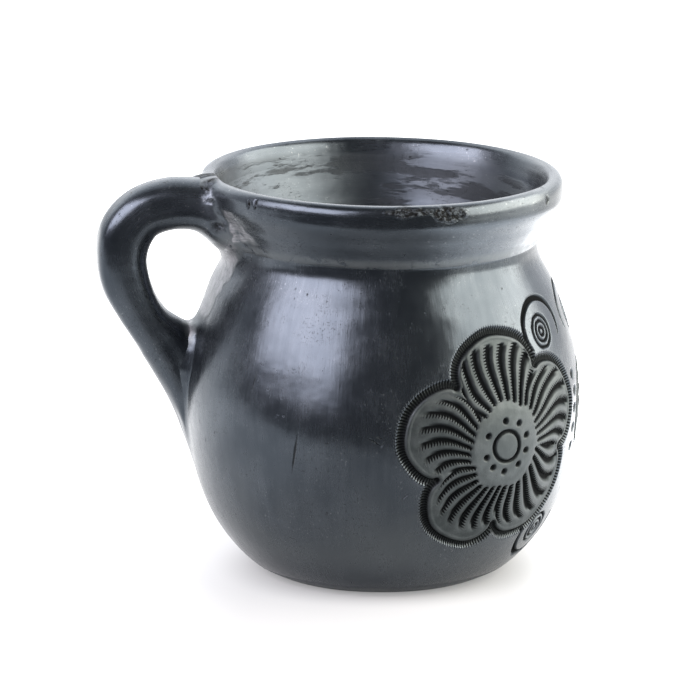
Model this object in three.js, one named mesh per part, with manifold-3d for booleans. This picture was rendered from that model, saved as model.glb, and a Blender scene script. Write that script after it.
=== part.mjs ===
// A small round-bellied black clay pot with one finger handle, hand built and luted together from
// seven pieces of clay: a base disc, a belly wall, a neck collar, a rim coil, a rolled handle, and
// the upper and lower lugs that join the handle to the pot. Units are millimetres, +Z is up, the
// origin is the middle of the flat foot, and the handle points along -X.
import * as THREE from "three";
import { mergeVertices } from "three/addons/utils/BufferGeometryUtils.js";
import Module from "manifold-3d";

// ---- Driving dimensions ----
const BELLY_R = 50; // widest outer radius
const BELLY_Z = 45; // height of the widest place
const FOOT_R = 28; // flat circle that the pot stands on
const NECK_R = 38.8; // narrowest outer radius
const NECK_Z = 83;
const LIP_R = 45.2; // outer radius of the rim coil
const LIP_Z = 98.4; // height of the rim coil's widest place
const LIP_HALF = 2.5; // half the rim coil's thickness
const LIP_RISE = 3; // from the rim's widest place to its top
const WALL = 4.7; // wall thickness of belly and neck
const FLOOR = 6; // thickness of the floor
const JOINT = 0.3; // slip joint between two pieces of clay
const BASE_SPLIT_Z = 3; // where the belly wall was raised from the base disc, outside
const FLOOR_SPLIT_Z = 9; // and inside
const CREASE_Z = 84.6; // crease where the neck collar sits on the shoulder
const RIM_SPLIT_Z = 95.6; // underside of the rim coil
const SEGMENTS = 60; // round the pot

// The neck and rim lean a little, higher on the handle's side.
const LEAN = 0.012;
const LEAN_FROM = 60;
const LEAN_FULL = 84;

// ---- Outlines, as [radius, height] ----
const OUTER = [
  [FOOT_R, 0],
  [33.6, BASE_SPLIT_Z],
  [41.9, 13],
  [47.4, 27],
  [BELLY_R, BELLY_Z],
  [47.9, 58.5],
  [43.5, 72],
  [NECK_R, NECK_Z],
  [42.3, 91],
  [44.9, RIM_SPLIT_Z],
  [LIP_R, LIP_Z],
];
const INNER = [
  [0, FLOOR],
  [20, FLOOR + 0.3],
  [30.5, 9.8],
  [38, 16.5],
  [42.8, 28],
  [BELLY_R - WALL, BELLY_Z],
  [43.1, 58.5],
  [38.8, 71.5],
  [NECK_R - WALL, NECK_Z],
  [37.4, 91],
  [39.7, RIM_SPLIT_Z],
  [LIP_R - 2 * LIP_HALF, LIP_Z],
];
const STEPS_PER_SPAN = 2;

// A smooth curve through the points of an outline, as [radius, height] pairs.
function smooth(outline) {
  const points = outline.map(([r, z]) => new THREE.Vector3(r, z, 0));
  const curve = new THREE.CatmullRomCurve3(points, false, "centripetal");
  return curve.getPoints((outline.length - 1) * STEPS_PER_SPAN).map((p) => [p.x, p.y]);
}

// The stretch of a rising outline between two heights, with its ends exactly at them.
function stretch(line, low, high) {
  const radiusAt = (z) => {
    const i = line.findIndex(([, h]) => h >= z);
    const [r0, z0] = line[i - 1];
    const [r1, z1] = line[i];
    return r0 + ((r1 - r0) * (z - z0)) / (z1 - z0);
  };
  const inside = line.filter(([, z]) => z > low + 0.4 && z < high - 0.4);
  return [[radiusAt(low), low], ...inside, [radiusAt(high), high]];
}

const outer = smooth(OUTER);
const inner = smooth(INNER);

// Tilts the neck and rim, easing in from LEAN_FROM to LEAN_FULL.
function lean(geometry) {
  const p = geometry.attributes.position;
  for (let i = 0; i < p.count; i++) {
    const share = THREE.MathUtils.smoothstep(p.getZ(i), LEAN_FROM, LEAN_FULL);
    p.setZ(i, p.getZ(i) - LEAN * p.getX(i) * share);
  }
  return geometry;
}

// A solid of revolution about Z from an outline that runs up the outside and down the inside.
function turned(outline) {
  const points = outline.map(([r, z]) => new THREE.Vector2(r, z));
  if (points[0].x > 0) points.push(points[0].clone());
  return lean(new THREE.LatheGeometry(points, SEGMENTS).rotateX(Math.PI / 2));
}

// A ring of wall between two heights outside and two heights inside.
function wallRing(low, high, innerLow = low, innerHigh = high) {
  const back = stretch(inner, innerLow, innerHigh).reverse();
  return turned([...stretch(outer, low, high), ...back]);
}

// ---- The vessel's four pieces ----
const baseDisc = () =>
  turned([
    [0, 0],
    [FOOT_R, 0],
    ...stretch(outer, 0.6, BASE_SPLIT_Z),
    ...stretch(inner, FLOOR + 0.1, FLOOR_SPLIT_Z).reverse(),
    [0, FLOOR],
  ]);

const bellyWall = () =>
  wallRing(BASE_SPLIT_Z + JOINT, CREASE_Z - JOINT, FLOOR_SPLIT_Z + JOINT, CREASE_Z - JOINT);

const neckCollar = () => wallRing(CREASE_Z, RIM_SPLIT_Z - JOINT);

// The rounded top of the rim from its outer side to its inner side, grown by an amount.
function rimTop(grow = 0) {
  const ARC_STEPS = 8;
  const arc = [];
  for (let i = 1; i < ARC_STEPS; i++) {
    const a = (Math.PI * i) / ARC_STEPS;
    const r = LIP_R - LIP_HALF + (LIP_HALF + grow) * Math.cos(a);
    arc.push([r, LIP_Z + (LIP_RISE + grow) * Math.sin(a)]);
  }
  return arc;
}

function rimCoil() {
  const up = stretch(outer, RIM_SPLIT_Z, LIP_Z);
  const down = stretch(inner, RIM_SPLIT_Z, LIP_Z).reverse();
  return turned([...up, ...rimTop(), ...down]);
}

// The vessel's outside as one filled solid, grown by the slip joint, to trim the handle's ends.
function filledPot() {
  const side = stretch(outer, 0.6, LIP_Z).map(([r, z]) => [r + JOINT, z]);
  const top = rimTop(JOINT).filter(([r]) => r >= LIP_R - LIP_HALF);
  return turned([[0, 0.6], ...side, ...top, [0, top[top.length - 1][1]]]);
}

// ---- The handle ----
// Stations along the clay roll, from inside the neck, over the top and down into the belly: the
// middle of the roll as x, y, z, then its half thickness in the handle's plane and half width.
const STATIONS = [
  [-38.5, -3.2, 92.4, 7.7, 9.6],
  [-46.5, -3.0, 95.1, 6.6, 8.0],
  [-54.0, -2.5, 95.4, 6.5, 7.3],
  [-60.7, -2.0, 93.1, 6.6, 7.1],
  [-64.5, -1.4, 88.4, 6.8, 7.0],
  [-65.7, -0.8, 82.4, 6.5, 7.0],
  [-64.8, 0.0, 76.2, 6.3, 7.0],
  [-61.9, 0.8, 69.4, 5.7, 6.9],
  [-58.9, 1.4, 64.6, 5.7, 6.8],
  [-55.7, 1.9, 60.4, 6.4, 6.8],
  [-52.6, 2.3, 54.6, 6.1, 6.6],
  [-50.0, 2.7, 48.2, 5.2, 6.1],
  [-48.3, 3.0, 41.8, 4.0, 5.2],
  [-46.7, 3.2, 35.6, 2.9, 4.1],
  [-44.6, 3.4, 29.0, 1.8, 3.0],
];
const SQUARENESS = 2.4; // exponent of the section's superellipse: 2 is an oval, more is squarer
const ROUND_STEPS = 20;
const STEPS_PER_STATION = 2;
// Where the lugs end and the bare roll begins and ends, as shares of the stations.
const UPPER_CUT = 1.2 / (STATIONS.length - 1);
const LOWER_CUT = 7.5 / (STATIONS.length - 1);
// A pressed pad of clay in the crotch under the finger hole: its middle and its three radii.
const PAD_AT = [-47.6, 1.2, 58.2];
const PAD_RADII = [4.4, 7.2, 6.2];
const HALF_CUT = 0.02 / (STATIONS.length - 1);

const curveOf = (points) => new THREE.CatmullRomCurve3(points, false, "centripetal");
const middle = curveOf(STATIONS.map(([x, y, z]) => new THREE.Vector3(x, y, z)));
const halves = curveOf(STATIONS.map((s) => new THREE.Vector3(s[3], s[4], 0)));

// A closed cylinder bent along the handle's middle line, from share t0 to share t1.
function roll(t0, t1) {
  const steps = Math.round((t1 - t0) * (STATIONS.length - 1) * STEPS_PER_STATION);
  const g = new THREE.CylinderGeometry(1, 1, 1, ROUND_STEPS, steps);
  const p = g.attributes.position;
  for (let i = 0; i < p.count; i++) {
    const t = THREE.MathUtils.lerp(t0, t1, 0.5 - p.getY(i));
    const forward = middle.getTangent(t);
    const side = new THREE.Vector3(0, 1, 0).addScaledVector(forward, -forward.y).normalize();
    const outward = new THREE.Vector3().crossVectors(forward, side);
    const half = halves.getPoint(t);
    const rim = Math.hypot(p.getX(i), p.getZ(i));
    const angle = Math.atan2(p.getZ(i), p.getX(i));
    const c = Math.cos(angle);
    const s = Math.sin(angle);
    const oval = (Math.abs(c) ** SQUARENESS + Math.abs(s) ** SQUARENESS) ** (-1 / SQUARENESS);
    const at = middle
      .getPoint(t)
      .addScaledVector(side, rim * c * oval * half.y)
      .addScaledVector(outward, rim * s * oval * half.x);
    p.setXYZ(i, at.x, at.y, at.z);
  }
  return g;
}

// ---- Booleans ----
const wasm = await Module();
wasm.setup();

function toSolid(geometry) {
  const bare = geometry.clone().deleteAttribute("normal").deleteAttribute("uv");
  const merged = mergeVertices(bare, 1e-3);
  return new wasm.Manifold(
    new wasm.Mesh({
      numProp: 3,
      vertProperties: merged.attributes.position.array,
      triVerts: new Uint32Array(merged.index.array),
    }),
  );
}

function toGeometry(solid) {
  const mesh = solid.getMesh();
  return new THREE.BufferGeometry()
    .setAttribute("position", new THREE.BufferAttribute(mesh.vertProperties, 3))
    .setIndex(new THREE.BufferAttribute(mesh.triVerts, 1));
}

// ---- The handle's three pieces ----
const pot = toSolid(filledPot());
const pad = () => new THREE.SphereGeometry(1, 20, 12).scale(...PAD_RADII).translate(...PAD_AT);
const handleRoll = () => roll(UPPER_CUT + HALF_CUT, LOWER_CUT - HALF_CUT);
const upperLug = () => toGeometry(toSolid(roll(0, UPPER_CUT - HALF_CUT)).subtract(pot));
const lowerLug = () =>
  toGeometry(toSolid(roll(LOWER_CUT + HALF_CUT, 1)).add(toSolid(pad())).subtract(pot));

// ---- The assembly ----
const clay = (color, roughness) =>
  new THREE.MeshStandardMaterial({ color, roughness, metalness: 0.15 });

const PIECES = [
  ["base_disc", baseDisc, clay(0x34383e, 0.55)],
  ["belly_wall", bellyWall, clay(0x2b2f35, 0.35)],
  ["neck_collar", neckCollar, clay(0x2b2f35, 0.4)],
  ["rim_coil", rimCoil, clay(0x2b2f35, 0.3)],
  ["handle_roll", handleRoll, clay(0x2b2f35, 0.35)],
  ["handle_upper_lug", upperLug, clay(0x34383e, 0.45)],
  ["handle_lower_lug", lowerLug, clay(0x34383e, 0.45)],
];

const group = new THREE.Group();
for (const [name, make, material] of PIECES) {
  const mesh = new THREE.Mesh(make(), material);
  mesh.name = name;
  group.add(mesh);
}

export default group;
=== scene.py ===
"""A small round-bellied pot of burnished black clay, with one finger handle and carved flowers."""

import math

import bpy
import numpy as np
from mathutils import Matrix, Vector


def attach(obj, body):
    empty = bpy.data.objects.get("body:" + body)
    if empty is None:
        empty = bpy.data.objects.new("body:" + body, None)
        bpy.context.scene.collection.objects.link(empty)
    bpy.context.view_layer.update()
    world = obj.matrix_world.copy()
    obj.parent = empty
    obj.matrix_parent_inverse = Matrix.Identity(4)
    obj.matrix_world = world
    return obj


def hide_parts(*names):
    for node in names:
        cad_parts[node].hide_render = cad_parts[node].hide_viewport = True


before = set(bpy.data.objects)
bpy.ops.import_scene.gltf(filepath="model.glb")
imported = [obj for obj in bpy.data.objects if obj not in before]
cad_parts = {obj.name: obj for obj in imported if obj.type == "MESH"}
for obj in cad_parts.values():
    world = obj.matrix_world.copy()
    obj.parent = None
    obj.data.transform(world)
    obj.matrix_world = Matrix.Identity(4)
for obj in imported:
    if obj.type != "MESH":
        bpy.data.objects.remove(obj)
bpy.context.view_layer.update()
MM = 0.001

# ---- Camera: a little above the pot, with the handle to the left and a little towards it ----
AZIMUTH = math.radians(-10)
ELEVATION = math.radians(14)
DISTANCE = 1.4
SENSOR_WIDTH = 36
VIEW_WIDTH = 0.1763  # how wide the view is at the pot's axis
FRAMING = Vector((-0.0079, 0.0100))  # how far the middle of the view is from the pot's middle
MIDDLE = Vector((0, 0, 0.045))  # the pot's middle, where the lights aim too


def direction(turn, lift):
    """The way out from the pot, that far round from its -Y side and that far up, in radians."""
    return Vector((math.sin(turn) * math.cos(lift), -math.cos(turn) * math.cos(lift), math.sin(lift)))


RIGHT = Vector((math.cos(AZIMUTH), math.sin(AZIMUTH), 0))
BACK = direction(AZIMUTH, ELEVATION)
NEARER = Vector((BACK.x, BACK.y, 0)).normalized()  # level, from the pot towards the camera
UP = BACK.cross(RIGHT)

camera = bpy.data.objects.new("camera", bpy.data.cameras.new("camera"))
bpy.context.scene.collection.objects.link(camera)
bpy.context.scene.camera = camera
camera.data.sensor_width = SENSOR_WIDTH
camera.data.lens = SENSOR_WIDTH * DISTANCE / VIEW_WIDTH
camera.data.clip_start = 0.05
camera.data.clip_end = 20
camera.location = MIDDLE + BACK * DISTANCE
aim = MIDDLE + RIGHT * FRAMING.x + UP * FRAMING.y
camera.rotation_mode = "QUATERNION"
camera.rotation_quaternion = (aim - camera.location).to_track_quat("-Z", "Y")


# ---- Curves and noise ----
def curve(points, steps):
    """The centripetal Catmull-Rom curve through the points, with that many steps a span."""
    p = np.asarray(points, float)
    q = np.vstack([2 * p[0] - p[1], p, 2 * p[-1] - p[-2]])
    t = np.linspace(0, 1, steps, endpoint=False)[:, None]
    out = []
    for a, b, c, d in zip(q, q[1:], q[2:], q[3:]):
        ab, bc, cd = (max(np.linalg.norm(y - x), 1e-6) ** 0.5 for x, y in ((a, b), (b, c), (c, d)))
        m0 = ((b - a) / ab - (c - a) / (ab + bc)) * bc + (c - b)
        m1 = ((d - c) / cd - (d - b) / (bc + cd)) * bc + (c - b)
        out.append(b + m0 * t + (3 * (c - b) - 2 * m0 - m1) * t**2 + (2 * (b - c) + m0 + m1) * t**3)
    out.append(p[-1:])
    return np.vstack(out)


def ease(low, high, x):
    """0 below low, 1 above high, and smooth between."""
    t = np.clip((x - low) / (high - low), 0, 1)
    return t * t * (3 - 2 * t)


def bell(x, width):
    """1 at 0, falling to 0 on both sides."""
    return np.exp(-((x / width) ** 2))


NOISE_ROWS = 64


def noise(x, y, seed, wrap=64):
    """Smooth value noise from -1 to 1 that repeats every wrap cells in x."""
    table = np.random.RandomState(seed).uniform(-1, 1, (wrap, NOISE_ROWS))
    i, j = np.floor(x).astype(int), np.floor(y).astype(int)
    fx, fy = ease(0, 1, x - i), ease(0, 1, y - j)

    def at(a, b):
        return table[(i + a) % wrap, (j + b) % NOISE_ROWS]

    low = at(0, 0) * (1 - fx) + at(1, 0) * fx
    high = at(0, 1) * (1 - fx) + at(1, 1) * fx
    return low * (1 - fy) + high * fy


def around(theta, cells, y, seed):
    """Noise round the pot, in that many cells."""
    return noise(theta * (cells / 2) / math.pi + cells / 2, y, seed, cells)


# ---- The vessel's outlines, as radius and height in mm ----
BELLY_R = 50
WALL = 4.7
FLOOR = 6
BASE_SPLIT_Z = 3
FLOOR_SPLIT_Z = 9
CREASE_Z = 84.6
RIM_SPLIT_Z = 95.6
LIP_R = 45.2
RIM_INSIDE_R = 39.7
LIP_Z = 98.4
LIP_HALF = 2.5
LIP_RISE = 3
LIP_FLAT = -0.14  # below 0 the lip is squarer than a half ellipse
LIP_STEPS = 16
OUTER = curve(
    [
        (28, 0),
        (33.6, BASE_SPLIT_Z),
        (41.9, 13),
        (47.4, 27),
        (BELLY_R, 45),
        (47.9, 58.5),
        (43.5, 72),
        (38.8, 83),
        (42.3, 91),
        (44.9, RIM_SPLIT_Z),
        (LIP_R, LIP_Z),
    ],
    60,
)
INNER = curve(
    [
        (0, FLOOR),
        (20, 6.3),
        (30.5, 9.8),
        (38, 16.5),
        (42.8, 28),
        (BELLY_R - WALL, 45),
        (43.1, 58.5),
        (38.8, 71.5),
        (34.1, 83),
        (37.4, 91),
        (RIM_INSIDE_R, RIM_SPLIT_Z),
        (LIP_R - 2 * LIP_HALF, LIP_Z),
    ],
    60,
)


def arc_lengths(line):
    """Length along a line of points up to each of them."""
    return np.r_[0, np.cumsum(np.hypot(*np.diff(line, axis=0).T))]


OUTER_S = arc_lengths(OUTER)


def climb(z):
    """Length along the outer outline, in mm, from the foot up to height z."""
    return np.interp(z, OUTER[:, 1], OUTER_S)


def stretch(line, low, high, step):
    """Points about step apart on a rising outline, from one height to another."""
    s = arc_lengths(line)
    a, b = np.interp([low, high], line[:, 1], s)
    at = np.linspace(a, b, max(2, round((b - a) / step) + 1))
    return np.c_[np.interp(at, s, line[:, 0]), np.interp(at, s, line[:, 1])]


def lip_point(angle):
    """A point of the lip, from its widest at angle 0 to its top at a quarter turn."""
    across, up = math.cos(angle), math.sin(angle)
    r = LIP_R - LIP_HALF + LIP_HALF * across * abs(across) ** LIP_FLAT
    return r, LIP_Z + LIP_RISE * up ** (1 + LIP_FLAT)


LIP_ARC = np.array([lip_point(a) for a in np.linspace(0, math.pi / 2, LIP_STEPS + 1)])
LIP_INSIDE = curve(
    [
        (LIP_R - LIP_HALF, LIP_Z + LIP_RISE),
        (41.7, 100.75),
        (40.9, 99.2),
        (40.3, 97.4),
        (RIM_INSIDE_R, RIM_SPLIT_Z),
    ],
    8,
)
RISING = np.vstack([OUTER, LIP_ARC[1:]])  # the outside, from the foot up to the top of the lip
RISING_S = arc_lengths(RISING)

# ---- Hand-made unevenness ----
LEAN = 0.012
STIFF_WIDTH = 0.6  # how far round from the handle's root, in radians, the pot keeps true


def lean(x, z):
    """How far the neck and rim sink on the side away from the handle, in mm."""
    return LEAN * x * ease(60, 84, z)


def hand_shape(theta, r, z):
    """Vessel points from angle, radius and height in mm, slightly out of round and not quite level."""
    wobble = 0.10 * np.cos(2 * theta + 0.6) * ease(5, 40, z)
    wobble = wobble + 0.06 * np.cos(5 * theta + z / 11) + 0.05 * np.cos(9 * theta - z / 7)
    r = r + wobble * (1 - bell(np.abs(theta) - math.pi, STIFF_WIDTH))
    x, y = r * np.cos(theta), r * np.sin(theta)
    return np.stack([x, y, z - lean(x, z)], -1)


# ---- The handle's path, and how it is blended into the vessel ----
STATIONS = curve(
    [  # x, y, z, half the thickness and half the width
        (-38.5, -3.2, 92.4, 7.7, 9.6),
        (-46.5, -3.0, 95.1, 6.6, 8.0),
        (-54.0, -2.5, 95.4, 6.5, 7.3),
        (-60.7, -2.0, 93.1, 6.6, 7.1),
        (-64.5, -1.4, 88.4, 6.8, 7.0),
        (-65.7, -0.8, 82.4, 6.5, 7.0),
        (-64.8, 0.0, 76.2, 6.3, 7.0),
        (-61.9, 0.8, 69.4, 5.7, 6.9),
        (-58.9, 1.4, 64.6, 5.7, 6.8),
        (-55.7, 1.9, 60.4, 6.4, 6.8),
        (-52.6, 2.3, 54.6, 6.1, 6.6),
        (-50.0, 2.7, 48.2, 5.2, 6.1),
        (-48.3, 3.0, 41.8, 4.0, 5.2),
        (-46.7, 3.2, 35.6, 2.9, 4.1),
        (-44.6, 3.4, 29.0, 1.8, 3.0),
    ],
    20,
)
SQUARENESS = 2.4
AROUND = 120  # points in each ring
UPPER_CUT = 24  # ring where the upper lug ends
LOWER_CUT = 150  # ring where the lower lug begins
SUNK = 1.2  # how far the hidden ends lie under the pot's surface
HALVINGS = 11  # rounds of the search for the fillet's surface
BURY = 0.3  # how far a fillet keeps below the other surface where it passes under it
HANDLE_MIDDLE, HANDLE_HALVES = STATIONS[:, :3], STATIONS[:, 3:]


def unit(v):
    """Vectors made one long."""
    return v / np.linalg.norm(v, axis=-1)[..., None]


HANDLE_AHEAD = unit(np.gradient(HANDLE_MIDDLE, axis=0))
HANDLE_SIDE = unit(np.array([0, 1.0, 0]) - HANDLE_AHEAD * HANDLE_AHEAD[:, 1:2])
HANDLE_OUT = np.cross(HANDLE_AHEAD, HANDLE_SIDE)
HANDLE_STEPS = np.linalg.norm(np.gradient(HANDLE_MIDDLE, axis=0), axis=1)
HANDLE_SLOPE = np.gradient(HANDLE_HALVES, axis=0) / HANDLE_STEPS[:, None]
COARSE = np.vstack([RISING[: -LIP_STEPS - 1 : 4], RISING[-LIP_STEPS - 1 :]])
COARSE_AHEAD = unit(np.gradient(COARSE, axis=0))


def pot_distance(p):
    """Distance of points from the vessel's outer surface, negative below it, and the way out from it."""
    radius = np.maximum(np.hypot(p[:, 0], p[:, 1]), 1e-6)
    height = p[:, 2] + lean(p[:, 0], p[:, 2])
    away_r = radius[:, None] - COARSE[:, 0]
    away_z = height[:, None] - COARSE[:, 1]
    k = np.argmin(away_r**2 + away_z**2, 1)
    rows = np.arange(len(p))
    ahead = COARSE_AHEAD[k]
    d = away_r[rows, k] * ahead[:, 1] - away_z[rows, k] * ahead[:, 0]
    return d, np.c_[p[:, :2] / radius[:, None] * ahead[:, 1:], -ahead[:, 0]]


def handle_distance(p):
    """Distance of points from the handle's surface, negative inside it."""
    k = np.argmin(((p[:, None] - HANDLE_MIDDLE[::2]) ** 2).sum(-1), 1) * 2
    v = p - HANDLE_MIDDLE[k]
    ahead = (v * HANDLE_AHEAD[k]).sum(-1)
    beyond = np.where((k == 0) | (k == len(STATIONS) - 1), np.abs(ahead), 0)
    halves = HANDLE_HALVES[k] + HANDLE_SLOPE[k] * np.clip(ahead, -1, 1)[:, None]
    c, s = (v * HANDLE_SIDE[k]).sum(-1), (v * HANDLE_OUT[k]).sum(-1)
    wide, thick = np.abs(c / halves[:, 1]), np.abs(s / halves[:, 0])
    size = (wide**SQUARENESS + thick**SQUARENESS) ** (1 / SQUARENESS)
    d = (1 - 1 / (size + 1e-6)) * np.hypot(c, s)
    return np.where(d > 0, np.hypot(d, beyond), d)


def fillet_width(z):
    """How wide the joint of handle and pot is smoothed: most in the handle's hole, least at its tail."""
    return 2.4 + 7.6 * ease(50, 72, z) - 6.5 * ease(84, 96, z)


def fillet(points, normals, own_is_pot, most):
    """How far points of one surface move out along their normals, to meet the other surface smoothly.

    The fillet is found by halving, from 0 to most. Points under the other surface end a little below it.
    """
    low, high = np.zeros(len(points)), np.full(len(points), float(most))
    for _ in range(HALVINGS):
        t = (low + high) / 2
        q = points + normals * t[:, None]
        pot, handle = pot_distance(q)[0], handle_distance(q)
        width = fillet_width(q[:, 2])
        h = np.clip(width - np.abs(pot - handle), 0, None) / width
        buried = pot - handle if own_is_pot else handle - pot
        inside = np.minimum(pot, handle) - h * h * width / 4 + BURY * ease(0, 3, buried) < 0
        low, high = np.where(inside, t, low), np.where(inside, high, t)
    return low


def soften(grid, rounds):
    """Averages a grid with its neighbours."""
    for _ in range(rounds):
        for axis in (0, 1):
            wide = np.pad(grid, [(1, 1) if k == axis else (0, 0) for k in (0, 1)], "edge")
            before, after = (np.take(wide, np.arange(grid.shape[axis]) + k, axis) for k in (0, 2))
            grid = (before + 2 * grid + after) / 4
    return grid


WEB_STEP = 0.45
WEB_ANGLE = 0.01
WEB_FROM = math.radians(128)
WEB_COLUMNS = 182
WEB_FOOT_Z = 20
WEB_REACH = 16  # the fillet moves no point that is farther than this from the handle
WEB_MOST = 5  # and moves none farther than this
WEB_ANGLES = WEB_FROM + np.arange(WEB_COLUMNS) * WEB_ANGLE
WEB_S = np.arange(climb(WEB_FOOT_Z), RISING_S[-1], WEB_STEP)


def web_grid():
    """How far the vessel's outside bulges to meet the handle, on a grid of outline lengths and angles."""
    r, z = np.interp(WEB_S, RISING_S, RISING[:, 0]), np.interp(WEB_S, RISING_S, RISING[:, 1])
    tangent = unit(np.c_[np.gradient(r), np.gradient(z)])
    theta, r = np.meshgrid(WEB_ANGLES, r)
    level, upright = tangent[:, 1:], -tangent[:, :1] + theta * 0
    out = np.stack([np.cos(theta) * level, np.sin(theta) * level, upright], -1).reshape(-1, 3)
    points = hand_shape(theta, r, np.repeat(z[:, None], theta.shape[1], 1)).reshape(-1, 3)
    near = np.flatnonzero(handle_distance(points) < WEB_REACH)
    bulge = np.zeros(len(points))
    bulge[near] = fillet(points[near], out[near], True, WEB_MOST)
    return soften(bulge.reshape(theta.shape), 4)


WEB = web_grid()


def web_bulge(theta, z):
    """How far the vessel's outside bulges to meet the handle at these angles and heights, from the grid."""
    i = np.clip((np.interp(z, RISING[:, 1], RISING_S) - WEB_S[0]) / WEB_STEP, 0, WEB.shape[0] - 1.001)
    j = np.clip((theta % (2 * math.pi) - WEB_FROM) / WEB_ANGLE, 0, WEB.shape[1] - 1.001)
    a, b = i.astype(int), j.astype(int)
    i, j = i - a, j - b
    below = WEB[a, b] * (1 - j) + WEB[a, b + 1] * j
    above = WEB[a + 1, b] * (1 - j) + WEB[a + 1, b + 1] * j
    return below * (1 - i) + above * i


def joint_wear(z):
    """How much the clay was scraped along the handle's joint, by height: most in the handle's hole."""
    return ease(58, 63, z) * (1 - 0.7 * ease(84, 90, z))


def joint_lumps(theta, z, bulge):
    """How rough the clay was left where the handle's top was pressed onto the neck and rim."""
    return ease(0.1, 0.7, bulge) * ease(88, 92, z) * ease(-0.3, 0.3, around(theta, 100, z / 1.5, 23))


# ---- Mesh building ----
UV_SCALE = 0.01  # the burnish map's units for each mm


def surface(name, points, across, along, ring=False, sharp=(), marks=None):
    """A closed mesh from a grid of points in mm that closes round its columns.

    With ring, the rows close on themselves too, otherwise both ends are capped. across and along say which
    way the surface was burnished, in mm, with one column more than the points. sharp rows are hard edges.
    marks are numbers kept on the points.
    """
    rows, columns = points.shape[:2]
    vertices = points.reshape(-1, 3)
    i, j = np.mgrid[0 : rows if ring else rows - 1, 0:columns]
    i2, j2 = (i + 1) % rows, j + 1
    corners = [(i, j), (i, j2), (i2, j2), (i2, j)]
    faces = np.stack([a * columns + b % columns for a, b in corners], -1).reshape(-1, 4).tolist()
    uv = np.stack([np.stack([across[a, b], along[a, b]], -1) for a, b in corners], -2).reshape(-1, 2)
    marks = {k: np.ravel(v) for k, v in (marks or {}).items()}
    if not ring:
        vertices = np.vstack([vertices, points[0].mean(0), points[-1].mean(0)])
        first, last = len(vertices) - 2, len(vertices) - 1
        top = (rows - 1) * columns
        faces += [(first, (k + 1) % columns, k) for k in range(columns)]
        faces += [(last, top + k, top + (k + 1) % columns) for k in range(columns)]
        ends = [(across[e, k], along[e, k]) for e in (0, -1) for k in range(columns) for _ in range(3)]
        uv = np.vstack([uv, ends])
        marks = {k: np.r_[v, v[0], v[-1]] for k, v in marks.items()}
    mesh = bpy.data.meshes.new(name)
    mesh.from_pydata(vertices * MM, [], faces)
    mesh.update()
    mesh.polygons.foreach_set("use_smooth", np.ones(len(faces), bool))
    if sharp:
        ends = np.empty(len(mesh.edges) * 2, int)
        mesh.edges.foreach_get("vertices", ends)
        row = (ends // columns).reshape(-1, 2)
        hard = (row[:, 0] == row[:, 1]) & np.isin(row[:, 0], [s % rows for s in sharp])
        mesh.attributes.new("sharp_edge", "BOOLEAN", "EDGE").data.foreach_set("value", hard)
    layer = mesh.uv_layers.new(name="burnish")
    layer.data.foreach_set("uv", (uv * UV_SCALE).astype(np.float32).ravel())
    for key, values in marks.items():
        mesh.attributes.new(key, "FLOAT", "POINT").data.foreach_set("value", values.astype(np.float32))
    o = bpy.data.objects.new(name, mesh)
    bpy.context.scene.collection.objects.link(o)
    return o


def piece(o, node, material):
    """Gives the object its material, puts it under the root body and hides the CAD node that it stands for.
    """
    o.data.materials.append(material)
    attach(o, "root")
    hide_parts(node)


ROUGH_TOP_Z = 95.8  # how high the inside was left rough
ROUGH_LOWERED = 5  # how much lower that ends on the side of the rim's painted highlight
ROUGH_FADE = 3.7  # over what height it fades out
HIGHLIGHT_AT, HIGHLIGHT_WIDTH = -14, 42  # where the rim's painted highlight is strongest and how wide it spreads, in degrees


def highlight_side(theta):
    """How strongly the rim's painted highlight lies round the pot, most of it on one side."""
    return bell(np.degrees(theta) - HIGHLIGHT_AT, HIGHLIGHT_WIDTH)


def even_angles(count):
    """That many angles all the way round the pot."""
    return np.linspace(-math.pi, math.pi, count, endpoint=False)


def burnish_map(angles, lengths):
    """The burnish map of a turned surface, in mm round the pot and mm along its outline."""
    wide = np.r_[angles, math.pi]
    across = np.repeat(BELLY_R * wide[None], len(lengths), 0)
    return across, np.repeat(lengths[:, None], len(wide), 1)


def wall_piece(name, outside, inside, angles, relief, sharp=None):
    """A turned ring of wall from an outline up the outside and down the inside, with relief on the outside.

    relief takes angles, heights and radii, and gives the depth in mm and the marks.
    """
    line = np.vstack([outside, inside])
    theta, r = np.meshgrid(angles, line[:, 0])
    z = np.repeat(line[:, 1:], len(angles), 1)
    n = len(outside)
    rising = np.argmax(line[:, 1]) + 1  # rows up to the top of the outline
    going_down = (np.arange(len(line)) >= rising)[:, None]
    rough_to = ROUGH_TOP_Z - ROUGH_LOWERED * highlight_side(theta)
    marks = {"inside": going_down * (1 - ease(rough_to, rough_to + ROUGH_FADE, z))}
    depth, found = relief(theta[:n], z[:n], r[:n])
    bulge = web_bulge(theta[:rising], z[:rising])
    depth[:rising] = depth[:rising] * (1 - ease(0, 1, bulge)) - bulge
    tangent = np.gradient(outside, axis=0)
    normal = np.c_[tangent[:, 1], -tangent[:, 0]] / np.hypot(*tangent.T)[:, None]
    r[:n] -= depth * normal[:, :1]
    z[:n] -= depth * normal[:, 1:]
    # Round the handle's joint the clay is scraped and lumpy.
    dry, lumps = np.zeros((2, n, len(angles)))
    dry[:rising] = (ease(0.4, 1.3, bulge) + ease(1.0, 2.4, bulge)) * joint_wear(z[:rising])
    lumps[:rising] = joint_lumps(theta[:rising], z[:rising], bulge)
    found["dry"] = np.maximum(found.get("dry", 0), dry)
    found["worn"] = np.maximum(found.get("worn", 0), lumps)
    marks |= {k: np.vstack([v, np.zeros((len(inside), len(angles)))]) for k, v in found.items()}
    edges = sharp if sharp is not None else (0, n - 1, n, len(line) - 1)
    across, along = burnish_map(angles, arc_lengths(line))
    return surface(name, hand_shape(theta, r, z), across, along, True, edges, marks)


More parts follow.
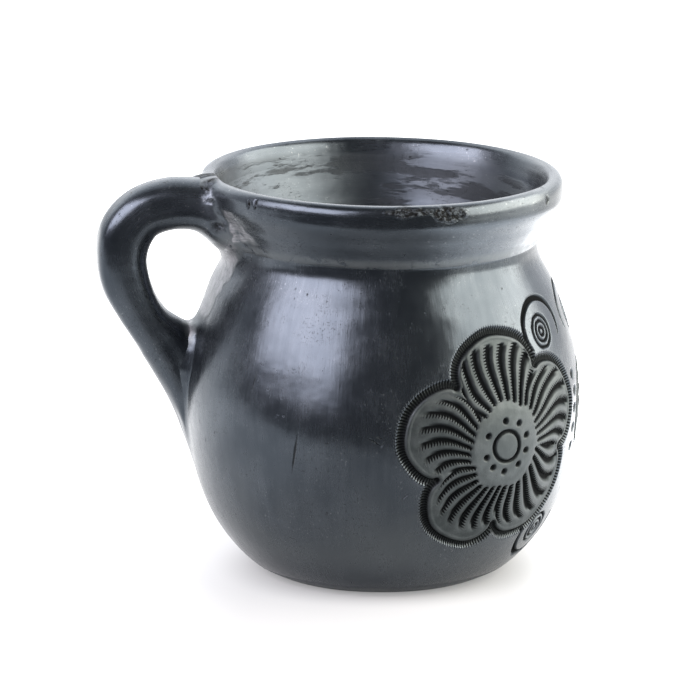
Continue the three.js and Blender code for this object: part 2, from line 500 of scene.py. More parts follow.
# ---- Carving: flowers, and leaves with dots between them. Sizes are in mm ----
FLOWERS = [(-61.5, 0, 1.0), (10.5, 9, 0.98), (82.5, -6, 1.01)]  # angle round the pot, turn and size of each
FLOWER_Z = 40.6
VALLEYS = [-91, -11, 57.5, 131.5, 200, 269]  # directions between petals
BOWS = [-0.09, 0.09, 0.09, -0.09, -0.09]  # how far and which way each petal's strokes bow, in petal widths
VALLEY_R = 21.2
PETAL_R = 29.2
OUTLINE_POINTS = 600
BAND_HALF = 1.2
STROKES = 7  # carved strokes in a petal
STROKES_R = 10.4  # where the strokes start
MARGINS = [1.6, 1.5, 1.3, 2.6, 2.3]  # how far from the outline they end
FADES = [0.3, 0.22, 0.12, 0.5, 0.4]  # over how much of their length they fade out
BAND_DEPTH, STROKE_DEPTH, RING_DEPTH, DOT_DEPTH = 0.8, 0.62, 0.5, 0.7
CENTRE_RING_R = 3.95
DOT_CIRCLE_R = 6.6
DOT_ANGLES = [15, 55, 95, 149, 199, 230, 265, 306, 340]
DOT_R = 0.78
LEAVES = ((12.7, 25.8, 1), (9.6, -27.2, -1))  # how far from the column, how far up, and which way up
LEAF_RINGS = (1.05, 2.6, 4.15)
LEAF_RING_DEPTH, HOOD_DEPTH = 0.45, 0.6
HOOD_MIDDLE = 0.9
HOOD_HALVES = (9.0, 7.6)  # the hood follows an oval
HOOD_R = 8.2  # about how far out it is
HOOD_FROM, HOOD_ANGLE = -28, 250  # where the hood's line starts and how far it goes round, in degrees
COLUMN_DOTS = (12.0, 7.7, 3.4, -1.6, -6.6)
COLUMN_DOT_R = 1.15
COLUMN_DOT_DEPTH = 0.8


def petal_share(angle):
    """Which petal a direction falls in, and how far across it from 0 to 1."""
    a = (angle - VALLEYS[0]) % 360 + VALLEYS[0]
    k = np.clip(np.searchsorted(VALLEYS, a, "right") - 1, 0, 4)
    low, high = np.take(VALLEYS, k), np.take(VALLEYS, k + 1)
    return k, (a - low) / (high - low)


def outline_radius(angle):
    """How far out the petals reach in a direction."""
    share = petal_share(angle)[1]
    return VALLEY_R + (PETAL_R - VALLEY_R) * np.sin(math.pi * share) ** 0.6


def flower_outline():
    """The line round the petals and the length along it."""
    a = np.linspace(VALLEYS[0], VALLEYS[-1], OUTLINE_POINTS, endpoint=False) + 1e-6
    r = outline_radius(a)
    line = np.c_[r * np.cos(np.radians(a)), r * np.sin(np.radians(a))]
    return line, arc_lengths(line)


def nearest(u, v, line, lengths):
    """Distance from each point to a line of points, and the length along the line there."""
    best = np.full(u.shape, 1e9)
    at = np.zeros(u.shape)
    for a, b, s in zip(line, np.roll(line, -1, 0), lengths):
        ab = b - a
        t = np.clip(((u - a[0]) * ab[0] + (v - a[1]) * ab[1]) / (ab @ ab), 0, 1)
        d = np.hypot(u - a[0] - t * ab[0], v - a[1] - t * ab[1])
        closer = d < best
        best[closer] = d[closer]
        at[closer] = (s + t * np.hypot(*ab))[closer]
    return best, at


def dot(far, radius):
    """A round dent with soft edges, from the distance to its middle."""
    return 1 - ease(radius * 0.6, radius * 1.25, far)


def flower(u, v):
    """A flower's carving in mm deep, with the marks that the material needs to serrate its cuts."""
    u = u + 0.25 * np.sin(v / 4.1) + 0.12 * np.sin(v / 1.7 + 1)
    v = v + 0.25 * np.sin(u / 4.7 + 2) + 0.12 * np.sin(u / 1.9)
    r = np.hypot(u, v)
    angle = np.degrees(np.arctan2(v, u))
    k, share = petal_share(angle)
    line, lengths = flower_outline()
    reach, s = nearest(u, v, line, lengths)
    edge = np.where(r > outline_radius(angle), reach, -reach)
    band = 1 - ease(0.55, BAND_HALF, np.abs(edge))
    petal = 1 - ease(-0.6, 0.4, edge)

    outer = outline_radius(angle) - np.take(MARGINS, k) - 0.5 * np.sin(5 * k + 9 * share)
    t = (r - STROKES_R) / (outer - STROKES_R)
    bow = np.take(BOWS, k) * np.sin(math.pi * np.clip(t, 0, 1))
    q = (share - bow) * STROKES
    phase = q - np.floor(q) - 0.5
    start = 0.05 * np.sin(7 * np.floor(q) + 3 * k)
    fade = np.take(FADES, k)
    stroke = ease(start, start + 0.07, t) * (1 - ease(1 - fade, 1.0, t + start)) * ease(1.2, 1.9, -edge)
    cut = stroke * ease(-0.36, 0.06, phase) * (1 - ease(0.15, 0.28, phase))

    ring = 1 - ease(0.25, 0.62, np.abs(r - CENTRE_RING_R))
    dots = np.zeros(u.shape)
    for a in np.radians(DOT_ANGLES):
        far = np.hypot(u - DOT_CIRCLE_R * math.cos(a), v - DOT_CIRCLE_R * math.sin(a))
        dots = np.maximum(dots, dot(far, DOT_R))
    depth = BAND_DEPTH * band + 0.15 * petal * ease(9.3, 11.3, r)
    depth = depth + STROKE_DEPTH * cut + RING_DEPTH * ring + DOT_DEPTH * dots
    depth -= 0.18 * bell(edge + 1.75, 0.35) + 0.15 * bell(r, 2.6)
    return {
        "depth": depth,
        "matte": np.maximum(petal, band),  # left unburnished
        "groove": np.maximum(ring, dots),  # plain cuts
        "edge": np.clip(edge, -9, 9),  # how far outside the petals' outline
        "along": np.where(edge > -1.5, s, r),  # how far along the outline or a stroke
        "gap": np.abs(phase),  # how far from the middle of a stroke, in strokes
        "flank": np.sin(2 * math.pi * phase),  # which side of it
        "stroke": stroke,  # how strongly strokes are cut here
    }


def leaf(u, v, up):
    """A leaf: three rings, hooded by a tapering crescent above them, or below them with up -1."""
    v = v * up
    r = np.hypot(u * 0.98, v)
    groove = np.zeros(u.shape)
    for radius in LEAF_RINGS:
        groove = np.maximum(groove, 1 - ease(0.15, 0.6, np.abs(r + 0.07 * np.sin(2 * u + v) - radius)))
    x, y = (u - HOOD_MIDDLE) / HOOD_HALVES[0], (v - HOOD_MIDDLE) / HOOD_HALVES[1]
    off_line = np.abs(np.hypot(x, y) - 1) * HOOD_R
    t = (np.degrees(np.arctan2(y, x)) - HOOD_FROM) % 360 / HOOD_ANGLE
    half = np.sqrt(np.sin(math.pi * np.clip(t, 0, 1))) + 1e-6
    hood = (1 - ease(0.55, 1.05, off_line / half)) * (t < 1)
    return np.maximum(LEAF_RING_DEPTH * groove, HOOD_DEPTH * hood), np.maximum(groove, hood)


def carving(theta, z):
    """The whole decoration at these angles and heights: depth in mm and the material's marks."""
    climbed = climb(z) - climb(FLOWER_Z)
    kinds = ("depth", "matte", "groove", "along", "gap", "flank", "stroke")
    total = {k: np.zeros(theta.shape) for k in kinds}
    total["edge"] = np.full(theta.shape, 9.0)
    for centre, turn, size in FLOWERS:
        u, v = BELLY_R * (theta - math.radians(centre)), climbed
        c, s = math.cos(math.radians(turn)), math.sin(math.radians(turn))
        near = np.hypot(u, v) < PETAL_R + 4
        found = flower((c * u[near] + s * v[near]) / size, (c * v[near] - s * u[near]) / size)
        for key, values in found.items():
            total[key][near] = values
    for (a, _, _), (b, _, _) in zip(FLOWERS, FLOWERS[1:]):
        u = BELLY_R * (theta - math.radians((a + b) / 2))
        for side in (-1, 1):
            for middle_u, middle_v, up in LEAVES:
                depth, groove = leaf(middle_u - u * side, climbed - middle_v, up)
                free = 1 - total["matte"]
                total["depth"] += depth * free
                total["groove"] = np.maximum(total["groove"], groove * free)
        for v in COLUMN_DOTS:
            dent = dot(np.hypot(u - 0.5 * math.sin(v), climbed - v), COLUMN_DOT_R)
            total["depth"] += COLUMN_DOT_DEPTH * dent
            total["groove"] = np.maximum(total["groove"], dent)
    total["matte"] = np.maximum(total["matte"], total["groove"])
    return total


# ---- The crease, scraped places and chips ----
CREASE_DEPTH = 0.26
CREASE_HALF = 0.65
CHIP_DEPTH = 0.30


def crease(theta, z):
    """The pressed joint between shoulder and neck."""
    uneven = 0.7 + 0.3 * around(theta, 18, z * 0, 4)
    return CREASE_DEPTH * uneven * bell(z - CREASE_Z + 0.1, CREASE_HALF)


def behind_handle(theta, z):
    """Where the wall behind the handle was scraped when the handle was joined on."""
    aside = np.abs(np.degrees(theta) % 360 - 180)
    width = np.interp(z, [66, 86], [7, 20]) + 1.2 * around(theta, 80, z / 1.6, 21)
    return 1.7 * ease(0, 1.6, width - aside) * ease(64, 67.5, z)


def belly_relief(theta, z, _r):
    """The carving, the crease, and the scraped wall behind the handle."""
    found = carving(theta, z)
    found["dry"] = behind_handle(theta, z)
    return found.pop("depth") + crease(theta, z), found


def neck_relief(theta, z, _r):
    """The crease, a dry line above it, and a scraped patch beside the handle's root."""
    band = ease(-0.4, 0.5, z - CREASE_Z) * (1 - ease(1.2, 3.2, z - CREASE_Z))
    patchy = 0.75 + 0.25 * around(theta, 40, z / 3, 12)
    uneven = around(theta, 120, z / 1.4, 22)
    aside = np.abs(np.degrees(theta) - np.interp(z, [88, 96], [-154.5, -158]))
    width = np.interp(z, [87, 97], [6.8, 3]) + uneven
    scraped = 2 * ease(0, 1.6, width - aside) * ease(86.8, 88.6, z + 0.5 * uneven)
    return crease(theta, z), {"dry": np.maximum(band * patchy, scraped)}


LIP_CHIPS = [  # angle, half width in degrees, height, half height in mm
    (-78, 6.5, 99.3, 2.0),
    (-91, 7.5, 100.0, 1.3),
    (-36, 1.8, 98.6, 1.5),
    (-143, 0.5, 99.4, 1.2),
    (-146, 0.5, 99.2, 1.2),
    (64, 3.5, 99.5, 1.4),
]


def lip_relief(theta, z, r):
    """The rim's chipped places, most of them on its front, and a painted highlight that makes one side
    paler.
    """
    fine = around(theta, 360, z / 0.7, 5)
    coarse = around(theta, 120, z / 2.4, 6)
    worn = np.zeros(theta.shape)
    for at, half, height, tall in LIP_CHIPS:
        far = np.hypot((np.degrees(theta) - at) / half, (z - height) / tall)
        worn = np.maximum(worn, 1 - ease(0.75, 0.95, far + 0.3 * coarse))
    worn = worn * ease(LIP_R - 1.6 * LIP_HALF, LIP_R - LIP_HALF, r)
    # Painted highlight on one side of the rim.
    painted_highlight = highlight_side(theta) * (0.85 + 0.15 * coarse) * ease(95.6, 98, z)
    return worn * (CHIP_DEPTH + 0.22 * fine), {"worn": worn, "painted_highlight": painted_highlight}


# ---- Materials ----
class Nodes:
    """A short way to write the nodes of a material, a light or the world."""

    def __init__(self, owner):
        owner.use_nodes = True
        self.owner = owner
        self.tree = owner.node_tree

    def put(self, socket, value):
        """Links a node's output to the socket, or sets a constant on it."""
        if isinstance(value, bpy.types.NodeSocket):
            self.tree.links.new(value, socket)
        else:
            socket.default_value = value

    def add(self, kind, settings=None, **inputs):
        node = self.tree.nodes.new(kind)
        for key, value in (settings or {}).items():
            setattr(node, key, value)
        for key, value in inputs.items():
            self.put(node.inputs[key], value)
        return node

    def math(self, operation, a, b=0.0, c=0.0):
        node = self.add("ShaderNodeMath", {"operation": operation})
        for socket, value in zip(node.inputs, (a, b, c)):
            self.put(socket, value)
        return node.outputs[0]

    def times(self, value, *factors):
        """The product of values."""
        for factor in factors:
            value = self.math("MULTIPLY", value, factor)
        return value

    def total(self, *weighted):
        """The sum of values, each times its weight."""
        result = 0.0
        for value, weight in weighted:
            result = self.math("MULTIPLY_ADD", value, weight, result)
        return result

    def vector(self, operation, a, b=(0, 0, 0)):
        """A vector operation's result, which is a number for a length or a dot product."""
        node = self.add("ShaderNodeVectorMath", {"operation": operation})
        self.put(node.inputs[0], a)
        self.put(node.inputs[1], b)
        return node.outputs["Value" if operation in ("LENGTH", "DOT_PRODUCT") else "Vector"]

    def range(self, value, low, high, to_low=0.0, to_high=1.0):
        """to_low where the value is low, to_high where it is high, and smooth between."""
        node = self.add("ShaderNodeMapRange", {"interpolation_type": "SMOOTHSTEP"})
        for socket, v in zip(node.inputs, (value, low, high, to_low, to_high)):
            self.put(socket, v)
        return node.outputs[0]

    def mix(self, factor, a, b):
        node = self.add("ShaderNodeMix", {"data_type": "RGBA"})
        for socket, v in zip((node.inputs[0], node.inputs[6], node.inputs[7]), (factor, a, b)):
            self.put(socket, v)
        return node.outputs[2]

    def noise(self, vector, scale, detail, rough=0.5):
        node = self.add("ShaderNodeTexNoise", Vector=vector, Scale=scale, Detail=detail, Roughness=rough)
        return node.outputs["Fac"]

    def stretched(self, vector, x, y, z=1):
        """Places for a noise with that many cells to a unit along each axis."""
        node = self.add("ShaderNodeMapping", Vector=vector, Scale=(x, y, z))
        return node.outputs[0]

    def mark(self, name):
        """A number kept on the mesh's points."""
        return self.add("ShaderNodeAttribute", {"attribute_name": name}).outputs["Fac"]

    def shade(self, name, value):
        """Links or sets an input of the material's shader."""
        self.put(self.tree.nodes["Principled BSDF"].inputs[name], value)


BLACK = (0.030, 0.037, 0.045, 1)
SMOKE = (0.052, 0.061, 0.071, 1)
PALE = (0.100, 0.110, 0.114, 1)
BARE = (0.27, 0.27, 0.285, 1)
CARVED = (0.030, 0.036, 0.038, 1)
RUBBED = (0.047, 0.054, 0.057, 1)
# Near black, for dark marks, and as painted shade in the carved cuts and on the inside.
DARK_MARK_AND_SHADE = (0.003, 0.0034, 0.0038, 1)
NONE = (0, 0, 0, 1)
WHITE = (1, 1, 1, 1)
DUST = (0.13, 0.14, 0.15, 1)
TOOTH = 0.74  # pitch of the cuts' serration in mm
ADDED_ROUGHNESS = 0.285  # about what the coats add to burnished clay


class Clay(Nodes):
    """Black clay worked up in coats, each of which changes its colour, roughness and height in mm.

    Its streaks are the strokes of burnishing, which go round turned clay and up and down the rest.
    """

    def __init__(self, name, roughness, turned):
        super().__init__(bpy.data.materials.new(name))
        self.place = self.add("ShaderNodeTexCoord").outputs["Object"]
        self.strokes = self.add("ShaderNodeUVMap", {"uv_map": "burnish"}).outputs[0]
        self.x, _, self.z = self.add("ShaderNodeSeparateXYZ", Vector=self.place).outputs
        # Clouds are about 30 mm across, dents 10 mm and grain 2 mm.
        self.cloud = self.noise(self.place, 34, 4, 0.6)
        self.dent = self.noise(self.place, 105, 2, 0.5)
        self.grain = self.noise(self.place, 420, 4, 0.65)
        broad, fine = ((5, 45), (14, 240)) if turned else ((45, 5), (240, 14))
        self.streak = self.noise(self.stretched(self.strokes, *broad), 1, 4, 0.65)
        self.fine_streak = self.noise(self.stretched(self.strokes, *fine), 1, 3, 0.7)
        self.inside = self.mark("inside")
        self.colour = BLACK
        self.rough = roughness - ADDED_ROUGHNESS
        self.height = 0.0

    def paint(self, where, amount, colour):
        """Lays a colour over the clay, from not at all where where is 0 to amount where it is 1."""
        self.colour = self.mix(self.times(where, amount), self.colour, colour)

    def roughen(self, where, amount):
        self.rough = self.math("MULTIPLY_ADD", where, amount, self.rough)

    def lift(self, where, amount):
        self.height = self.math("MULTIPLY_ADD", where, amount, self.height)

    def burnish(self):
        """Clouds, streaks and pits, and paler towards the foot as a painted reflection of the pale table."""
        tone = self.total((self.cloud, 0.55), (self.streak, 0.20), (self.dent, 0.25))
        pits = self.range(self.grain, 0.67, 0.74)
        self.paint(self.range(tone, 0.38, 0.66), 1, SMOKE)
        # Painted reflection: paler low on the pot, where it faces the pale table, fading out at the very
        # foot.
        low = self.range(self.math("MULTIPLY_ADD", self.cloud, 0.055, self.z), 0.064, 0.032)
        self.paint(low, self.range(self.z, 0.003, 0.014, 0, 0.45), PALE)
        self.paint(pits, 0.55, DARK_MARK_AND_SHADE)
        self.roughen(self.cloud, 0.18)
        self.roughen(self.dent, 0.10)
        self.roughen(self.fine_streak, 0.16)
        self.roughen(self.grain, 0.09)
        self.roughen(pits, 0.25)
        self.lift(self.cloud, 0.34)
        self.lift(self.dent, 0.10)
        self.lift(self.streak, 0.03)
        self.lift(self.fine_streak, 0.012)
        self.lift(pits, -0.03)
        self.lift(self.grain, 0.010)

    def age(self):
        """Pale specks, fewer of them inside, and small nicks that lie level, stand upright or are round."""
        speck = self.noise(self.place, 1500, 2, 0.6)
        dust = self.times(self.range(speck, 0.64, 0.72), self.range(self.cloud, 0.46, 0.62))
        dust = self.times(dust, self.range(self.inside, 0.6, 0, 0.3, 1))
        self.paint(dust, 0.8, DUST)
        level = self.range(self.noise(self.stretched(self.strokes, 70, 380), 1, 1), 0.68, 0.72)
        upright = self.range(self.noise(self.stretched(self.strokes, 380, 90), 1, 1), 0.68, 0.72)
        long = self.times(self.math("MAXIMUM", level, upright), self.range(self.dent, 0.50, 0.60))
        small = self.times(self.range(speck, 0.30, 0.24), self.range(self.dent, 0.48, 0.58))
        nicked = self.math("MAXIMUM", long, small)
        self.paint(nicked, 0.75, DARK_MARK_AND_SHADE)
        self.lift(nicked, -0.03)

    def leave_rough_and_shade_inside(self):
        """Patches of the inside that the burnishing missed, and painted shade that darkens the side away
        from the handle, which is also rougher.
        """
        patch = self.noise(self.stretched(self.place, 36, 36, 215), 1, 5, 0.62)
        missed = self.times(self.inside, self.range(patch, 0.50, 0.56))
        # Painted shade: the inside is darker on the side away from the handle.
        dark = self.times(self.inside, self.range(self.x, 0.008, 0.034))
        self.paint(missed, 0.5, DARK_MARK_AND_SHADE)
        self.paint(dark, 0.45, DARK_MARK_AND_SHADE)
        self.roughen(self.inside, 0.11)
        self.roughen(dark, 0.08)
        self.roughen(missed, 0.16)
        self.lift(self.times(missed, self.grain), 0.12)

    def wear(self):
        """Clay painted pale on one side of the rim as a highlight, dry or scraped bare, and chipped, where
        the mesh is marked.
        """
        # Painted highlight: the rim is paler on one side, with no change in roughness.
        self.paint(self.mark("painted_highlight"), 0.55, PALE)
        drier = self.mark("dry")
        dry = self.times(self.math("MINIMUM", drier, 1.0), self.range(self.grain, 0.30, 0.5))
        ragged = self.total((self.fine_streak, 0.5), (self.grain, 0.5))
        scraped = self.times(self.range(drier, 1.0, 1.8), self.range(ragged, 0.38, 0.64))
        self.paint(dry, 0.7, PALE)
        self.paint(scraped, 0.8, BARE)
        self.roughen(dry, 0.2)
        self.lift(self.times(dry, self.grain), 0.10)
        chipped = self.mark("worn")
        crumbs = self.noise(self.place, 1100, 3, 0.6)
        self.paint(chipped, 1, self.mix(self.range(crumbs, 0.44, 0.66), DARK_MARK_AND_SHADE, SMOKE))
        self.roughen(chipped, 0.35)
        self.lift(self.times(chipped, crumbs), 0.6)

    def scratch(self, across, along, angle, length, width):
        """A ragged scratch at a place on the burnish map, all in mm and its angle in degrees."""
        spot = self.add("ShaderNodeMapping", {"vector_type": "TEXTURE"}, Vector=self.strokes)
        spot.inputs["Location"].default_value = (across * UV_SCALE, along * UV_SCALE, 0)
        spot.inputs["Rotation"].default_value = (0, 0, math.radians(angle))
        spot.inputs["Scale"].default_value = (length / 2 * UV_SCALE, width / 2 * UV_SCALE, 1)
        far = self.vector("LENGTH", spot.outputs[0])
        nick = self.range(self.math("MULTIPLY_ADD", self.grain, 0.8, far), 1.4, 0.7)
        self.paint(nick, 0.8, DARK_MARK_AND_SHADE)
        self.lift(nick, -0.12)

    def carve(self):
        """Duller clay in the flowers, and cuts painted black and without reflection as painted shade, with a
        serrated edge.
        """
        matte, groove, edge = self.mark("matte"), self.mark("groove"), self.mark("edge")
        gap, flank, stroke = self.mark("gap"), self.mark("flank"), self.mark("stroke")
        # The groove round the petals has a serrated outside.
        tooth = self.math("PINGPONG", self.math("DIVIDE", self.mark("along"), TOOTH), 0.5)
        outside = self.math("SUBTRACT", edge, self.times(tooth, 3.0))
        band = self.times(self.range(outside, 0.35, -0.05), self.range(edge, -1.3, -0.8))
        band = self.times(band, self.range(tooth, 0.05, 0.38, 0.72, 1))
        # A stroke is serrated on its steep side and fades on the other.
        reach = self.times(tooth, self.range(flank, -0.5, 0.5, 0.3, 0.8))
        toothed = self.range(self.math("SUBTRACT", gap, reach), 0.18, 0.10)
        sloping = self.times(self.range(gap, 0.34, 0.02), self.range(stroke, 0.4, 0.95))
        steep_side = self.range(flank, -0.5, 0.2)
        cut = self.math("MULTIPLY_ADD", self.math("SUBTRACT", toothed, sloping), steep_side, sloping)
        cut = self.times(cut, self.range(stroke, 0.06, 0.4))
        cut = self.math("MAXIMUM", self.math("MAXIMUM", cut, band), groove)
        shade = self.total((self.grain, 0.5), (self.dent, 0.7))
        self.paint(matte, 1, self.mix(self.range(shade, 0.50, 0.74), CARVED, RUBBED))
        # Painted shade: the cuts are painted near black.
        self.paint(cut, 0.97, DARK_MARK_AND_SHADE)
        self.roughen(matte, 0.26)
        self.roughen(cut, 0.15)
        self.lift(self.times(matte, self.grain), 0.09)
        self.lift(cut, -0.18)
        # Painted shade: no reflection in the cuts, so they stay dark in any light.
        self.shade("Specular Tint", self.mix(cut, WHITE, NONE))


def clay(name, roughness, turned=False, carved=False, scratches=()):
    """A material of burnished black clay. scratches are (across, along, angle, length, width)."""
    n = Clay(name, roughness, turned)
    n.burnish()
    n.age()
    n.leave_rough_and_shade_inside()
    n.wear()
    for scratch in scratches:
        n.scratch(*scratch)
    if carved:
        n.carve()
    bump = n.add("ShaderNodeBump", Strength=1.0, Distance=MM, Height=n.height)
    n.shade("Base Color", n.colour)
    n.shade("Roughness", n.rough)
    n.shade("Metallic", 0.85)
    n.shade("Normal", bump.outputs[0])
    return n.owner


SCRATCHES = [  # angle round the pot, height, direction, length and width, in degrees and mm
    (-125.1, 40.3, 79, 13, 0.9),
    (-101.9, 44.4, -32, 3.6, 0.6),
    (-100.4, 45.3, -25, 2.6, 0.5),
    (-99.6, 43.6, 62, 2.2, 0.4),
    (-140, 56, 82, 7, 0.4),
    (-93, 30, 40, 3.0, 0.4),
    (150, 48, 70, 9, 0.6),
    (40, 77, 15, 5, 0.5),
]
on_belly = [(BELLY_R * math.radians(a), climb(z) - climb(BASE_SPLIT_Z), *rest) for a, z, *rest in SCRATCHES]

BELLY_CLAY = clay("burnished_clay", 0.28, carved=True, scratches=on_belly)
NECK_CLAY = clay("neck_clay", 0.27, turned=True)
RIM_CLAY = clay("rim_clay", 0.29, turned=True)
HANDLE_CLAY = clay("handle_clay", 0.28)
LUG_CLAY = clay("lug_clay", 0.28)
FOOT_CLAY = clay("foot_clay", 0.46)

# ---- The vessel ----
FINE_FROM, FINE_TO = math.radians(-104), math.radians(125)
belly_angles = np.r_[  # closest where it is carved
    np.linspace(-math.pi, -WEB_FROM, 96, endpoint=False),
    np.linspace(-WEB_FROM, FINE_FROM, 26, endpoint=False),
    np.linspace(FINE_FROM, FINE_TO, 740, endpoint=False),
    np.linspace(FINE_TO, math.pi, 98, endpoint=False),
]
belly_outside = np.vstack(
    [
        stretch(OUTER, BASE_SPLIT_Z, 8, 0.8)[:-1],
        stretch(OUTER, 8, 76, 0.28)[:-1],
        stretch(OUTER, 76, CREASE_Z, 0.4),
    ]
)
belly_inside = stretch(INNER, FLOOR_SPLIT_Z, CREASE_Z, 2)[::-1]
belly = wall_piece("belly_wall", belly_outside, belly_inside, belly_angles, belly_relief)
piece(belly, "belly_wall", BELLY_CLAY)

neck = wall_piece(
    "neck_collar",
    stretch(OUTER, CREASE_Z, RIM_SPLIT_Z, 0.4),
    stretch(INNER, CREASE_Z, RIM_SPLIT_Z, 0.8)[::-1],
    even_angles(540),
    neck_relief,
)
piece(neck, "neck_collar", NECK_CLAY)

rim_outside = np.vstack(
    [
        stretch(OUTER, RIM_SPLIT_Z, LIP_Z, 0.35)[:-1],
        LIP_ARC[:-1],
        LIP_INSIDE,
    ]
)
rim_core = np.array([(LIP_R - LIP_HALF, RIM_SPLIT_Z + 0.4)])
rim = wall_piece("rim_coil", rim_outside, rim_core, even_angles(900), lip_relief, (0, len(rim_outside) - 1))
piece(rim, "rim_coil", RIM_CLAY)

FOOT_EDGE_R = 27
FOOT_HOLLOW = 0.12  # how far the foot's middle is off the table
BASE_COLUMNS = 360
foot = np.vstack(
    [  # the underside, its rounded edge, and the side up to the belly wall
        [(r, FOOT_HOLLOW * (1 - r / FOOT_EDGE_R)) for r in range(1, FOOT_EDGE_R, 2)],
        [(27.6, 0.0), (28.3, 0.12), (29.0, 0.42)],
        stretch(OUTER, 0.9, BASE_SPLIT_Z, 0.4),
    ]
)
floor_inside = stretch(INNER, FLOOR + 0.01, FLOOR_SPLIT_Z, 1.2)[::-1]
base_line = np.vstack([foot, floor_inside])
base_angles = even_angles(BASE_COLUMNS)
base_theta, base_r = np.meshgrid(base_angles, base_line[:, 0])
base_points = hand_shape(base_theta, base_r, np.repeat(base_line[:, 1:], BASE_COLUMNS, 1))
base_map = burnish_map(base_angles, arc_lengths(base_line))
base = surface("base_disc", base_points, *base_map, sharp=(len(foot) - 1, len(foot)))
piece(base, "base_disc", FOOT_CLAY)


# ---- The handle ----
HANDLE_REACH = 14  # the fillet moves no point that is farther than this from the vessel
HANDLE_MOST = 3.5  # and moves none farther than this
HANDLE_GIRTH = 42


def handle_rings():
    """Rings of points round the handle, blended into the pot, with hidden ends tucked into its wall."""
    a = np.linspace(0, 2 * math.pi, AROUND, endpoint=False)
    c, s = np.cos(a), np.sin(a)
    oval = (np.abs(c) ** SQUARENESS + np.abs(s) ** SQUARENESS) ** (-1 / SQUARENESS)
    ring = np.arange(len(STATIONS))[:, None]
    ridge = 0.14 * np.cos(4 * a + 0.7 + ring / 60) + 0.08 * np.cos(7 * a - ring / 34)
    ridge = ridge + 0.10 * noise(a * 4 / math.pi + ring * 0, ring / 20.0 + a * 0, 3, 8)
    wide, thick = HANDLE_HALVES[:, 1:], HANDLE_HALVES[:, :1]
    side, out = HANDLE_SIDE[:, None], HANDLE_OUT[:, None]
    aside, above = (c * oval * wide)[..., None], (s * oval * thick)[..., None]
    points = HANDLE_MIDDLE[:, None] + side * aside + out * above
    bend = np.abs(oval) ** (SQUARENESS - 1)
    lean_c = np.sign(c) * np.abs(c) ** (SQUARENESS - 1) * bend / wide
    lean_s = np.sign(s) * np.abs(s) ** (SQUARENESS - 1) * bend / thick
    normal = unit(side * lean_c[..., None] + out * lean_s[..., None])

    flat, way = points.reshape(-1, 3), normal.reshape(-1, 3)
    near = np.flatnonzero(np.abs(pot_distance(flat)[0]) < HANDLE_REACH)
    bulge = np.zeros(len(flat))
    bulge[near] = fillet(flat[near], way[near], False, HANDLE_MOST)
    wrapped = np.tile(bulge.reshape(ridge.shape), 3)
    bulge = soften(wrapped, 3)[:, AROUND : 2 * AROUND]
    points = points + normal * (bulge + ridge * (1 - ease(0, 0.8, bulge)))[..., None]

    flat = points.reshape(-1, 3)
    away, up = pot_distance(flat)
    points = (flat + up * np.maximum(-SUNK - away, 0)[:, None]).reshape(points.shape)
    radius = np.hypot(points[..., 0], points[..., 1])
    height = points[..., 2] + LEAN * points[..., 0]
    # Inside the rim, the hidden end stays below the lip and off the wall's inner face.
    highest = np.where(radius < LIP_R - 0.8, LIP_Z - 0.5, height)
    points[..., 2] += np.minimum(highest - height, 0)
    least = np.interp(points[..., 2], INNER[:, 1], INNER[:, 0]) + SUNK
    points[..., :2] *= np.maximum(least / radius, 1)[..., None]
    z = points[..., 2]
    marks = {
        "dry": (ease(0.3, 1.2, bulge) + ease(0.8, 2.0, bulge)) * joint_wear(z),
        "worn": joint_lumps(np.arctan2(points[..., 1], points[..., 0]), z, bulge),
    }
    return points, marks


def handle_piece(name, points, marks, first, last):
    """The part of the handle from one ring up to another, with a sharp edge at both ends."""
    part = points[first:last]
    steps = np.linalg.norm(np.diff(HANDLE_MIDDLE, axis=0), axis=1)
    lengths = np.r_[0, np.cumsum(steps)][first:last]
    turns = np.linspace(0, 1, AROUND + 1)
    across = np.repeat(HANDLE_GIRTH * turns[None], len(part), 0)
    along = np.repeat(lengths[:, None], AROUND + 1, 1)
    marks = {k: v[first:last, ::-1] for k, v in marks.items()}
    return surface(name, part[:, ::-1], across, along, sharp=(0, len(part) - 1), marks=marks)


rings = handle_rings()  # their points and marks
upper_lug = handle_piece("handle_upper_lug", *rings, 0, UPPER_CUT + 1)
roll = handle_piece("handle_roll", *rings, UPPER_CUT, LOWER_CUT + 1)
lower_lug = handle_piece("handle_lower_lug", *rings, LOWER_CUT, len(STATIONS))
piece(upper_lug, "handle_upper_lug", LUG_CLAY)
piece(roll, "handle_roll", HANDLE_CLAY)
piece(lower_lug, "handle_lower_lug", LUG_CLAY)


# ---- Floor, light and surroundings, in metres ----
FLOOR_FRONT, FLOOR_BACK, FLOOR_HALF = 0.16, 2.5, 2.5


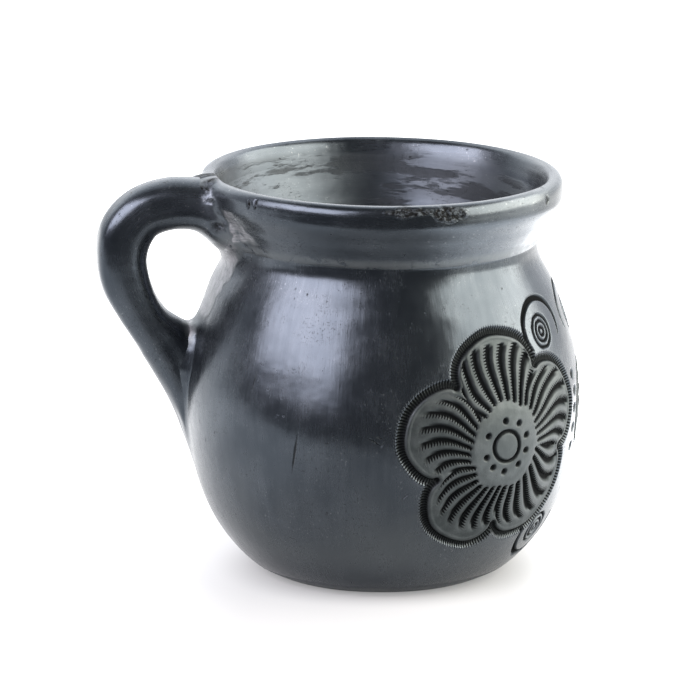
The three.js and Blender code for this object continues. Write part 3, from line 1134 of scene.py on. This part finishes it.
def floor():
    """A pale table top that ends a little way in front of the pot, glowing white round it with painted
    light, and with a painted shadow where it meets the pot.
    """
    n = Nodes(bpy.data.materials.new("floor_white"))
    place = n.add("ShaderNodeTexCoord").outputs["Object"]
    far = n.vector("LENGTH", place)
    forward = n.vector("DOT_PRODUCT", place, NEARER)
    aside = n.vector("DOT_PRODUCT", place, RIGHT)
    # Painted light: the floor glows, more behind the pot and to its right and left; it glows less close to
    # the pot, as a painted shadow.
    behind = n.times(n.range(far, 0.07, 0.17), n.range(forward, 0.06, -0.04))
    right = n.times(n.range(aside, 0.03, 0.10, 0, 3.2), n.range(far, 0.30, 0.16))
    left = n.range(aside, -0.03, -0.10, 0, 0.9)
    near = n.range(far, 0.026, 0.044, 0.25, 0.54)
    n.shade("Base Color", (0.17, 0.172, 0.175, 1))
    n.shade("Roughness", 0.9)
    n.shade("Emission Color", (0.985, 0.99, 1.0, 1))
    n.shade("Emission Strength", n.total((behind, 1), (near, 1), (right, 1), (left, 1)))
    front, back, half = NEARER * FLOOR_FRONT, NEARER * -FLOOR_BACK, RIGHT * FLOOR_HALF
    corners = [front - half, front + half, back + half, back - half]
    mesh = bpy.data.meshes.new("floor")
    mesh.from_pydata([c[:] for c in corners], [], [(0, 1, 2, 3)])
    mesh.materials.append(n.owner)
    o = bpy.data.objects.new("floor", mesh)
    bpy.context.scene.collection.objects.link(o)


floor()


def softbox(name, turn, lift, far, size, brightness, colour):
    """A soft light aimed at the pot from turn degrees right of the camera and lift degrees up, in metres."""
    light = bpy.data.lights.new(name, "AREA")
    light.shape = "RECTANGLE"
    light.size, light.size_y = size
    light.energy = brightness * math.pi * size[0] * size[1]
    light.color = colour
    n = Nodes(light)
    place = n.add("ShaderNodeNewGeometry").outputs["Parametric"]
    off_centre = n.vector("ABSOLUTE", n.vector("SUBTRACT", place, (0.5, 0.5, 0)))
    sides = n.add("ShaderNodeSeparateXYZ", Vector=off_centre).outputs
    fade = n.times(n.range(sides[0], 0.5, 0.35), n.range(sides[1], 0.5, 0.35))
    n.put(n.tree.nodes["Emission"].inputs["Strength"], fade)
    o = bpy.data.objects.new(name, light)
    bpy.context.scene.collection.objects.link(o)
    out = direction(AZIMUTH + math.radians(turn), math.radians(lift))
    o.location = MIDDLE + out * far
    o.rotation_mode = "QUATERNION"
    o.rotation_quaternion = (-out).to_track_quat("-Z", "Y")


softbox("softbox_left", -53, 30, 0.9, (1.0, 0.68), 12.5, (0.98, 0.91, 0.98))
softbox("softbox_right", 85, 22, 0.75, (1.15, 0.95), 11, (1.0, 0.95, 0.84))
softbox("softbox_back", 180, 42, 1.1, (3.6, 0.9), 2.2, (1, 1, 1))

PALE_ROOM = (1.75, 1.8, 1.9, 1)
DARK_ROOM = (0.065, 0.073, 0.085, 1)
DARK_FROM, DARK_TO = -0.42, 0.02  # where one turns into the other, from -1 behind the pot to 1 in front


def surroundings():
    """A white backdrop for the camera; reflections see a pale room that is dark on the camera's side."""
    world = bpy.data.worlds.new("studio")
    bpy.context.scene.world = world
    n = Nodes(world)
    n.tree.nodes.clear()
    facing = n.vector("DOT_PRODUCT", n.add("ShaderNodeTexCoord").outputs["Generated"], NEARER)
    darker = n.range(facing, DARK_FROM, DARK_TO)
    room = n.add("ShaderNodeBackground", Color=n.mix(darker, PALE_ROOM, DARK_ROOM))
    backdrop = n.add("ShaderNodeBackground", Color=WHITE)
    seen = n.add("ShaderNodeLightPath").outputs["Is Camera Ray"]
    both = n.add("ShaderNodeMixShader")
    for socket, value in zip(both.inputs, (seen, room.outputs[0], backdrop.outputs[0])):
        n.put(socket, value)
    n.add("ShaderNodeOutputWorld", Surface=both.outputs[0])


surroundings()
bpy.context.scene.view_settings.view_transform = "Standard"
